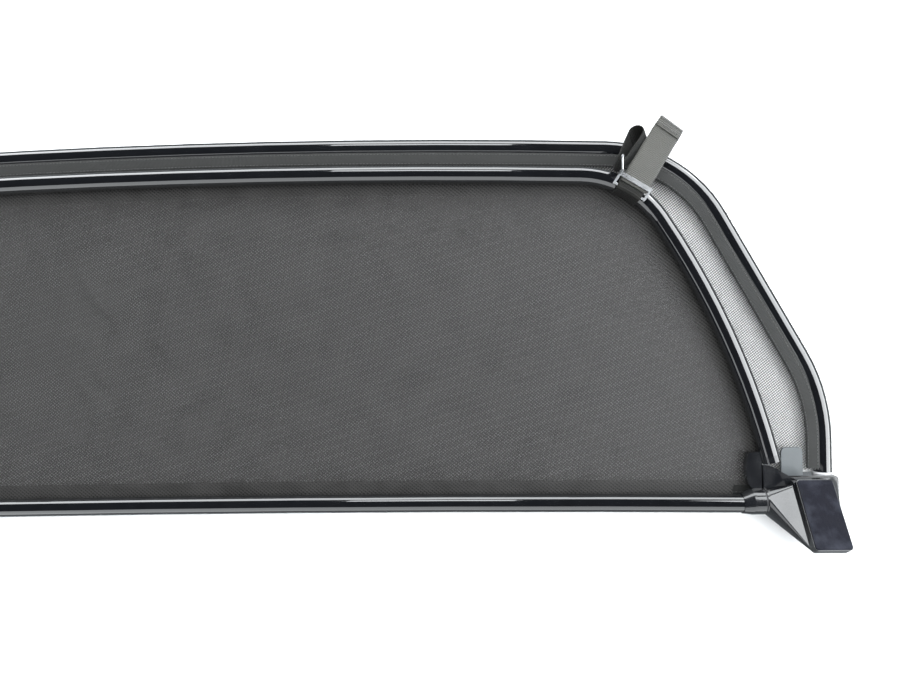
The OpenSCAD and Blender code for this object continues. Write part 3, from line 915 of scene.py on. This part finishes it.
@dataclass(frozen=True)
class StrapSize:
    """Sizes of one cinch strap, millimetres in [outward, up] from the tube's middle.

    Args:
        turn: angle round the upper corner where it sits, degrees.
        width: webbing width.
        thick: webbing thickness.
        rear_bar: place of the bar held by the anchor.
        front_bar: place of the bar the tail passes under.
        bar_r: radius of the bars.
        loop_near: distance from the tube to the loop's near turn.
        loop_far: distance from the tube to the loop's far end.
        near_r: outer radius of the near turn.
        far_r: outer radius of the far turn.
        loop_up: heights of the near and far turns.
        along: how far the loop sits beside the tail.
        roll: how far the loop is turned on its edge, degrees.
        tail: length of the free tail.
        far_roll: how much further the loop's far end is turned, degrees.
        far_slide: how far the far end sags along the frame and upwards.
        anchor_gap: gap between the anchor and the tube.
        bar_sleeve: gap between the anchor's webbing and the rear bar.
        tail_start: how far behind the front bar the tail starts.
        tail_gap: gap between the tail and the front bar.
        tail_shift: how far the tail sits off the strap's middle.
        tail_middle: how far below the front bar the tail twists about.
        twist: how far the tail's end is twisted, degrees.
        twist_from: where along the tail the twist starts.
        fold_points: samples of the tail that the folded end covers.
        fold_trim: how much narrower the folded end is.
        stitch_back: how far the rows of stitches are from the tail's end.
        stitch_span: where across the tail they start and end.
    """

    turn: float = 32.0
    width: float = 25.0
    thick: float = 1.2
    rear_bar: Point2 = (-4.8, 11.7)
    front_bar: Point2 = (3.5, 15.9)
    bar_r: float = 1.1
    loop_near: float = 13.0
    loop_far: float = 48.0
    near_r: float = 3.8
    far_r: float = 7.0
    loop_up: Point2 = (10.0, 6.5)
    along: float = 20.0
    roll: float = 96.0
    tail: float = 64.5
    far_roll: float = 28.0
    far_slide: Point2 = (-5.0, -2.0)
    anchor_gap: float = 0.1
    bar_sleeve: float = 1.2
    tail_start: float = 3.9
    tail_gap: float = 0.3
    tail_shift: float = -1.0
    tail_middle: float = 2.0
    twist: float = 14.0
    twist_from: float = 8.0
    fold_points: int = 7
    fold_trim: float = 0.6
    stitch_back: Point2 = (6.8, 2.4)
    stitch_span: Point2 = (-12.0, 10.0)


STRAIGHT_STEPS = 12


def between(first: Point2, last: Point2) -> list[Point2]:
    """Divides a straight into equal steps.

    Args:
        first: its start.
        last: its end.

    Returns:
        The points between the two ends.
    """
    return [(first[0] + (last[0] - first[0]) * k / STRAIGHT_STEPS,
             first[1] + (last[1] - first[1]) * k / STRAIGHT_STEPS) for k in range(1, STRAIGHT_STEPS)]


def belt(a: Point2, ra: float, b: Point2, rb: float, count: int = 18) -> list[Point2]:
    """Lays a closed line round two circles.

    Args:
        a: middle of the first circle.
        ra: its radius.
        b: middle of the second circle.
        rb: its radius.
        count: samples on each circle.

    Returns:
        The line's points.
    """
    lean = math.atan2(b[1] - a[1], b[0] - a[0])
    half = math.pi / 2 + math.asin((rb - ra) / math.dist(a, b))
    far = [(b[0] + rb * math.cos(lean + h), b[1] + rb * math.sin(lean + h))
           for h in np.linspace(half, -half, count)]
    near = [(a[0] + ra * math.cos(lean + h), a[1] + ra * math.sin(lean + h))
            for h in np.linspace(-half, half - 2 * math.pi, count)]
    return far + between(far[-1], near[0]) + near + between(near[-1], far[0])


@dataclass(frozen=True)
class WebbingSection:
    """Cross-section of the webbing.

    Args:
        steps: samples across each face.
        body: thickness of the middle, as a share of the webbing's.
        edge_drop: share lost at the edges.
        edge_power: how sharply it is lost there.
        lip: extra thickness of the selvedge, mm.
        lip_at: where the selvedge is, as a share of the half width.
        lip_width: its width, as a share of the half width.
        wobble: how far the webbing wanders sideways, mm.
        wobble_rate: how fast it wanders, radians per mm.
        wobble_skew: how much the wander differs across it, radians.
    """

    steps: int = 14
    body: float = 0.8
    edge_drop: float = 0.45
    edge_power: int = 24
    lip: float = 0.12
    lip_at: float = 0.94
    lip_width: float = 0.04
    wobble: float = 0.12
    wobble_rate: float = 0.35
    wobble_skew: float = 2.0

    def share(self, s: float) -> float:
        """Works out the thickness at a place across.

        Args:
            s: place across, -1 to 1.

        Returns:
            The share of the webbing's thickness.
        """
        lip = self.lip * math.exp(-((abs(s) - self.lip_at) / self.lip_width) ** 2)
        return self.body - self.edge_drop * abs(s) ** self.edge_power + lip


SECTION = WebbingSection()


class CinchStrap:
    """Anchor, loop and tail of one strap; the buckle stays as it is.

    Args:
        size: its sizes.
        side: which end.
    """

    LOOP_STEPS = 24
    TAIL_STEPS = 44
    FOLD_RISE = 0.95
    STITCH_RISE = 1.45
    STITCH_STEPS = 8
    WAVE = 0.45
    WAVE_RATE = 0.13
    WAVE_GROWS_OVER = 15.0
    TAIL_RISE = 0.5

    def __init__(self, size: StrapSize, side: Side) -> None:
        self.size, self.side = size, side
        self.middle = INNER.bend_middle(INNER_CORNER_BEND)
        self.heading = math.radians(90 - size.turn)
        self.corner_r = INNER.stretches[INNER_CORNER_BEND].radius

    def _place(self, out: float, along: float, up: float, curved: bool = False) -> Vector:
        """Converts strap coordinates to the object's frame.

        Args:
            out: distance from the tube's middle, mm.
            along: distance along the tube, mm.
            up: height above the tube's middle, mm.
            curved: whether along follows the tube's bend.

        Returns:
            The place, m.
        """
        turn = self.heading + (along / self.corner_r if curved else 0.0)
        reach = self.corner_r + out
        x = self.middle[0] + reach * math.cos(turn)
        y = self.middle[1] + reach * math.sin(turn)
        if not curved:
            x -= along * math.sin(turn)
            y += along * math.cos(turn)
        return place(x, y, HINGE_Z + up)

    def _on_loop(self, out: float, across: float, normal: float) -> Vector:
        """Converts the rolled loop's own coordinates to the object's frame.

        Args:
            out: distance from the near turn towards the far one, mm.
            across: across the webbing, mm.
            normal: out of the webbing, mm.

        Returns:
            The place, m.
        """
        size = self.size
        reach = size.loop_far - size.far_r - size.loop_near
        share = min(1.0, max(0.0, out / reach))
        roll = math.radians(size.roll + size.far_roll * share)
        along = across * math.cos(roll) + normal * math.sin(roll) + size.far_slide[0] * share
        up = -across * math.sin(roll) + normal * math.cos(roll) + size.far_slide[1] * share
        lean = math.asin((size.loop_up[0] - size.loop_up[1]) / reach)
        o = out * math.cos(lean) + up * math.sin(lean)
        u = -out * math.sin(lean) + up * math.cos(lean)
        return self._place(size.loop_near + o, size.along + along, size.loop_up[0] + u)

    def _ribbon(self, name: str, finish: Finish, line: Sequence[Point2], closed: bool,
                put: Callable[..., Vector], library: MaterialLibrary, body: Body,
                shift: float = 0.0, trim: float = 0.0) -> bpy.types.Object:
        """Builds webbing along a line.

        Args:
            name: piece name.
            finish: its finish.
            line: points in [outward, up], mm.
            closed: whether the line joins up.
            put: converts outward, along, up to the object's frame.
            library: where the material comes from.
            body: the body it rides on.
            shift: how far it sits off the strap's middle, mm.
            trim: how much narrower it is than the webbing, mm.

        Returns:
            The object.
        """
        pts = np.array(line)
        ahead = np.roll(pts, -1, 0) - np.roll(pts, 1, 0)
        if not closed:
            ahead[0], ahead[-1] = pts[1] - pts[0], pts[-1] - pts[-2]
        ahead /= np.linalg.norm(ahead, axis=1)[:, None]
        normal = np.c_[-ahead[:, 1], ahead[:, 0]]
        half = (self.size.width - trim) / 2
        count = SECTION.steps
        ring = [(k / count * 2 - 1, 1) for k in range(count + 1)]
        ring += [(1 - k / count * 2, -1) for k in range(count + 1)]
        run = np.r_[0, np.cumsum(np.linalg.norm(np.diff(pts, axis=0), axis=1))]
        piece = Piece(name, finish, "webbing")
        rows, uvs = [], []
        for k, (p, n) in enumerate(zip(pts, normal)):
            row, uv = [], []
            for s, face in ring:
                wobble = SECTION.wobble * math.sin(run[k] * SECTION.wobble_rate + s * SECTION.wobble_skew)
                q = p + n * self.size.thick / 2 * SECTION.share(s) * face
                row.append(put(q[0], s * half + shift + wobble, q[1]))
                uv.append((run[k] * MM, s * half * MM))
            rows.append(row)
            uvs.append(uv)
        piece.grid(rows, uvs, wrap_rows=closed, wrap_cols=True)
        if not closed:
            width = len(ring)
            for start in (0, (len(pts) - 1) * width):
                for j in range(count):
                    piece.faces.append((start + j, start + j + 1,
                                        start + width - 2 - j, start + width - 1 - j))
        return piece.build(library, body, self.side is Side.LEFT)

    def _anchor(self, library: MaterialLibrary) -> None:
        """Builds the webbing round the tube that holds the buckle.

        Args:
            library: where the material comes from.
        """
        size, end = self.size, self.side.suffix
        mid = size.thick / 2
        line = belt((0, 0), TUBE_R + size.anchor_gap + mid, size.rear_bar, size.bar_r + size.bar_sleeve + mid)
        # the anchor takes the darker webbing copy, which is painted shade
        anchor = self._ribbon(f"strap_anchor_{end}_webbing", WEBBING_SHADED, line, True,
                              lambda o, a, u: self._place(o, a, u, curved=True), library, Body.INNER)
        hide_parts(f"strap_anchor_{end}")

    def _loop(self, library: MaterialLibrary) -> None:
        """Builds the loop.

        Args:
            library: where the material comes from.
        """
        size, end = self.size, self.side.suffix
        mid = size.thick / 2
        reach = size.loop_far - size.far_r - size.loop_near
        line = belt((0.0, 0.0), size.near_r - mid, (reach, 0.0), size.far_r - mid, self.LOOP_STEPS)
        # the loop takes the darker webbing copy, which is painted shade
        loop = self._ribbon(f"strap_loop_{end}_webbing", WEBBING_SHADED, line, True, self._on_loop,
                            library, Body.strap(self.side))
        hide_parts(f"strap_loop_{end}")

    def _tail(self, library: MaterialLibrary, stitcher: Stitcher) -> None:
        """Builds the tail, its folded end and the stitches across it.

        Args:
            library: where the material comes from.
            stitcher: what lays the stitches.
        """
        size, end, body = self.size, self.side.suffix, Body.strap(self.side)
        line = [self._tail_point(x) for x in np.linspace(0, size.tail - size.thick / 2, self.TAIL_STEPS)]
        tail = self._ribbon(f"strap_tail_{end}_webbing", WEBBING, line, False, self._on_tail,
                            library, body, shift=size.tail_shift)
        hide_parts(f"strap_tail_{end}")
        fold = [(x, y + size.thick * self.FOLD_RISE) for x, y in line[-size.fold_points:]]
        self._ribbon(f"strap_tail_fold_{end}", WEBBING, fold, False, self._on_tail,
                     library, body, shift=size.tail_shift, trim=size.fold_trim)
        rows = []
        for back in size.stitch_back:
            x, y = self._tail_point(size.tail - back)
            row = [self._on_tail(x, a, y + size.thick * self.STITCH_RISE)
                   for a in np.linspace(*size.stitch_span, self.STITCH_STEPS)]
            for point in row:
                point.x *= self.side.value
            rows.append(row)
        stitcher.sew(f"strap_stitches_{end}", body, rows, pitch=0.0026, length=0.002)

    def make(self, library: MaterialLibrary, stitcher: Stitcher) -> None:
        """Builds the strap's webbing and stitches.

        Args:
            library: where the materials come from.
            stitcher: what lays the stitches.
        """
        self._anchor(library)
        self._loop(library)
        self._tail(library, stitcher)

    def _tail_point(self, x: float) -> Point2:
        """Finds a point of the tail's middle line.

        Args:
            x: distance along the tail, mm.

        Returns:
            The point, [outward, up], mm.
        """
        size = self.size
        out = size.front_bar[0] - size.tail_start
        up = size.front_bar[1] - size.bar_r - size.tail_gap - size.thick / 2
        wave = self.WAVE * math.sin(x * self.WAVE_RATE) * min(1.0, x / self.WAVE_GROWS_OVER)
        return out + x, up + self.TAIL_RISE * x / (size.tail - size.twist_from) + wave

    def _on_tail(self, out: float, along: float, up: float) -> Vector:
        """Places a point of the tail, which twists a little towards its end.

        Args:
            out: distance from the tube's middle, mm.
            along: distance along the tube, mm.
            up: height above the tube's middle, mm.

        Returns:
            The place, m.
        """
        size = self.size
        share = min(1.0, max(0.0, (out - size.twist_from) / (size.tail - size.twist_from)))
        twist = math.radians(size.twist) * share * share
        middle = size.front_bar[1] - size.tail_middle
        a, u = along - size.tail_shift, up - middle
        return self._place(out, a * math.cos(twist) - u * math.sin(twist) + size.tail_shift,
                           middle + u * math.cos(twist) + a * math.sin(twist))


# ---------------------------------------------------------------- studio


@dataclass(frozen=True)
class Panel:
    """A soft light panel.

    Args:
        name: light name.
        toward: direction from the object to the panel.
        distance: how far it is, m.
        size: width and height, m.
        radiance: brightness.
        glossy: whether reflections see it.
        diffuse: whether it lights surfaces.
    """

    name: str
    toward: tuple[float, float, float]
    distance: float
    size: tuple[float, float]
    radiance: float
    glossy: bool = True
    diffuse: bool = False


class Studio:
    """Floor, lights, world and camera."""

    AIM = Vector((0.0, 0.0, 0.0))
    TINT = (0.95, 0.98, 1.0)
    SKY_TINT = (0.88, 0.95, 1.0, 1.0)
    SKY_HEIGHTS = (-0.15, 0.05)
    SKY_LEVELS = (0.4, 0.04)
    FLOOR_HALF = 6
    FLOOR_DROP = 0.0003
    FLOOR_COLOUR = (0.9, 0.9, 0.9, 1.0)
    CAMERA_TURN = math.radians(1.05)
    CAMERA_LEAN = math.radians(1.67)
    CAMERA_HEIGHT = 0.622
    CAMERA_AIM = Vector((0.204, 0.1502 - HINGE_BACK * MM, 0.0))
    LENS = 26.4
    SENSOR = 36.0
    PANELS = (
        Panel("fill_overhead", (0.05, 0.25, 1.0), 2.4, (2.6, 2.6), 9.0, glossy=False, diffuse=True),
        Panel("strip_far", (0.0, 0.961, 0.276), 1.9, (4.6, 1.0), 6.5),
        Panel("side_right", (0.87, 0.1, 0.5), 2.2, (3.0, 1.9), 7.5),
        Panel("side_left", (-0.94, 0.0, 0.34), 2.4, (2.4, 1.5), 2.5),
        Panel("foot_far", (0.033, 0.684, 0.727), 2.09, (0.7, 0.5), 8.0),
        Panel("strip_near", (0.0, -0.87, 0.5), 2.0, (4.0, 1.9), 2.4),
    )

    def make(self) -> None:
        """Builds everything."""
        self._floor()
        for panel in self.PANELS:
            self._light(panel)
        self._world()
        self._camera()
        bpy.context.scene.view_settings.view_transform = "Standard"

    def _floor(self) -> None:
        """Builds the pale floor."""
        mesh = bpy.data.meshes.new("floor")
        half = self.FLOOR_HALF
        mesh.from_pydata([(-half, -half, 0), (half, -half, 0), (half, half, 0), (-half, half, 0)],
                         [], [(0, 1, 2, 3)])
        floor = bpy.data.objects.new("floor", mesh)
        bpy.context.scene.collection.objects.link(floor)
        material = bpy.data.materials.new("floor")
        material.use_nodes = True
        t = NodeTree(material.node_tree)
        shader = t.add("ShaderNodeBsdfDiffuse", {"Color": self.FLOOR_COLOUR})
        t.add("ShaderNodeOutputMaterial", {"Surface": shader.outputs[0]})
        mesh.materials.append(material)
        floor.location.z = -self.FLOOR_DROP
        floor.visible_glossy = False

    def _light(self, panel: Panel) -> None:
        """Adds one panel.

        Args:
            panel: the panel.
        """
        data = bpy.data.lights.new(panel.name, "AREA")
        data.shape = "RECTANGLE"
        data.color = self.TINT
        data.size, data.size_y = panel.size
        data.energy = panel.radiance * math.pi * panel.size[0] * panel.size[1]
        light = bpy.data.objects.new(panel.name, data)
        toward = Vector(panel.toward).normalized()
        light.location = self.AIM + toward * panel.distance
        light.rotation_euler = toward.to_track_quat("Z", "Y").to_euler()
        light.visible_camera = False
        light.visible_glossy = panel.glossy
        light.visible_diffuse = panel.diffuse
        bpy.context.scene.collection.objects.link(light)

    def _world(self) -> None:
        """Sets a surrounding that is brighter below the horizon than above it."""
        world = bpy.data.worlds.new("studio")
        bpy.context.scene.world = world
        world.use_nodes = True
        t = NodeTree(world.node_tree)
        ray = t.add("ShaderNodeTexCoord")
        height = t.add("ShaderNodeSeparateXYZ", {0: ray.outputs["Generated"]}).outputs[2]
        level = t.add("ShaderNodeMapRange", {0: height, 1: self.SKY_HEIGHTS[0], 2: self.SKY_HEIGHTS[1],
                                             3: self.SKY_LEVELS[0], 4: self.SKY_LEVELS[1]})
        back = t.add("ShaderNodeBackground", {"Color": self.SKY_TINT, "Strength": level.outputs[0]})
        t.add("ShaderNodeOutputWorld", {"Surface": back.outputs[0]})

    def _camera(self) -> None:
        """Adds the camera, looking almost straight down."""
        turn, lean = self.CAMERA_TURN, self.CAMERA_LEAN
        right = Vector((math.cos(turn), -math.sin(turn), 0.0))
        up = Vector((math.sin(turn), math.cos(turn), 0.0))
        back = right * math.sin(lean) + Vector((0, 0, 1)) * math.cos(lean)
        side = up.cross(back)
        data = bpy.data.cameras.new("camera")
        data.sensor_width = self.SENSOR
        data.lens = self.LENS
        data.clip_start = 0.01
        camera = bpy.data.objects.new("camera", data)
        place_at = self.CAMERA_AIM + back * self.CAMERA_HEIGHT
        camera.matrix_world = Matrix((
            (side.x, up.x, back.x, place_at.x), (side.y, up.y, back.y, place_at.y),
            (side.z, up.z, back.z, place_at.z), (0, 0, 0, 1)))
        bpy.context.scene.collection.objects.link(camera)
        bpy.context.scene.camera = camera


class CadFinisher:
    """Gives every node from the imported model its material.

    Args:
        library: where the materials come from.
    """

    def __init__(self, library: MaterialLibrary) -> None:
        self.library = library

    def make(self) -> None:
        """Assigns materials by the record's slots."""
        slots = {part["node"]: part["material_slot"] for part in frame["record"]["subparts"]}
        for node, obj in frame["nodes"].items():
            finish = SLOT_FINISH[slots[node]]
            material = self.library.get(finish)
            obj.data.materials.clear()
            obj.data.materials.append(material)


def main() -> None:
    """Builds the scene in order."""
    Studio().make()
    library = MaterialLibrary()
    CadFinisher(library).make()
    stitcher = Stitcher(library)
    MeshPanel(PanelSize(OUTER, OUTER_CLOTH_Z), "outer_mesh", OUTER_NET, Body.OUTER,
              OUTER_CORNER).make(library)
    MeshPanel(PanelSize(INNER, INNER_CLOTH_Z, sag=-0.5), "inner_mesh", INNER_NET, Body.INNER,
              INNER_CORNER).make(library)
    outer = HemSize(OUTER, OUTER_CLOTH_Z + 0.35, up=1.0, corner=OUTER_CORNER, rail_end=484.0)
    inner = HemSize(INNER, INNER_CLOTH_Z - 0.65, up=-1.0, corner=INNER_CORNER, rail_end=456.0)
    HemTape(outer, "outer_hem", Body.OUTER).make(library, stitcher)
    HemTape(inner, "inner_hem", Body.INNER).make(library, stitcher)
    for side in Side:
        CinchStrap(StrapSize(), side).make(library, stitcher)


if __name__ == "__main__":
    main()
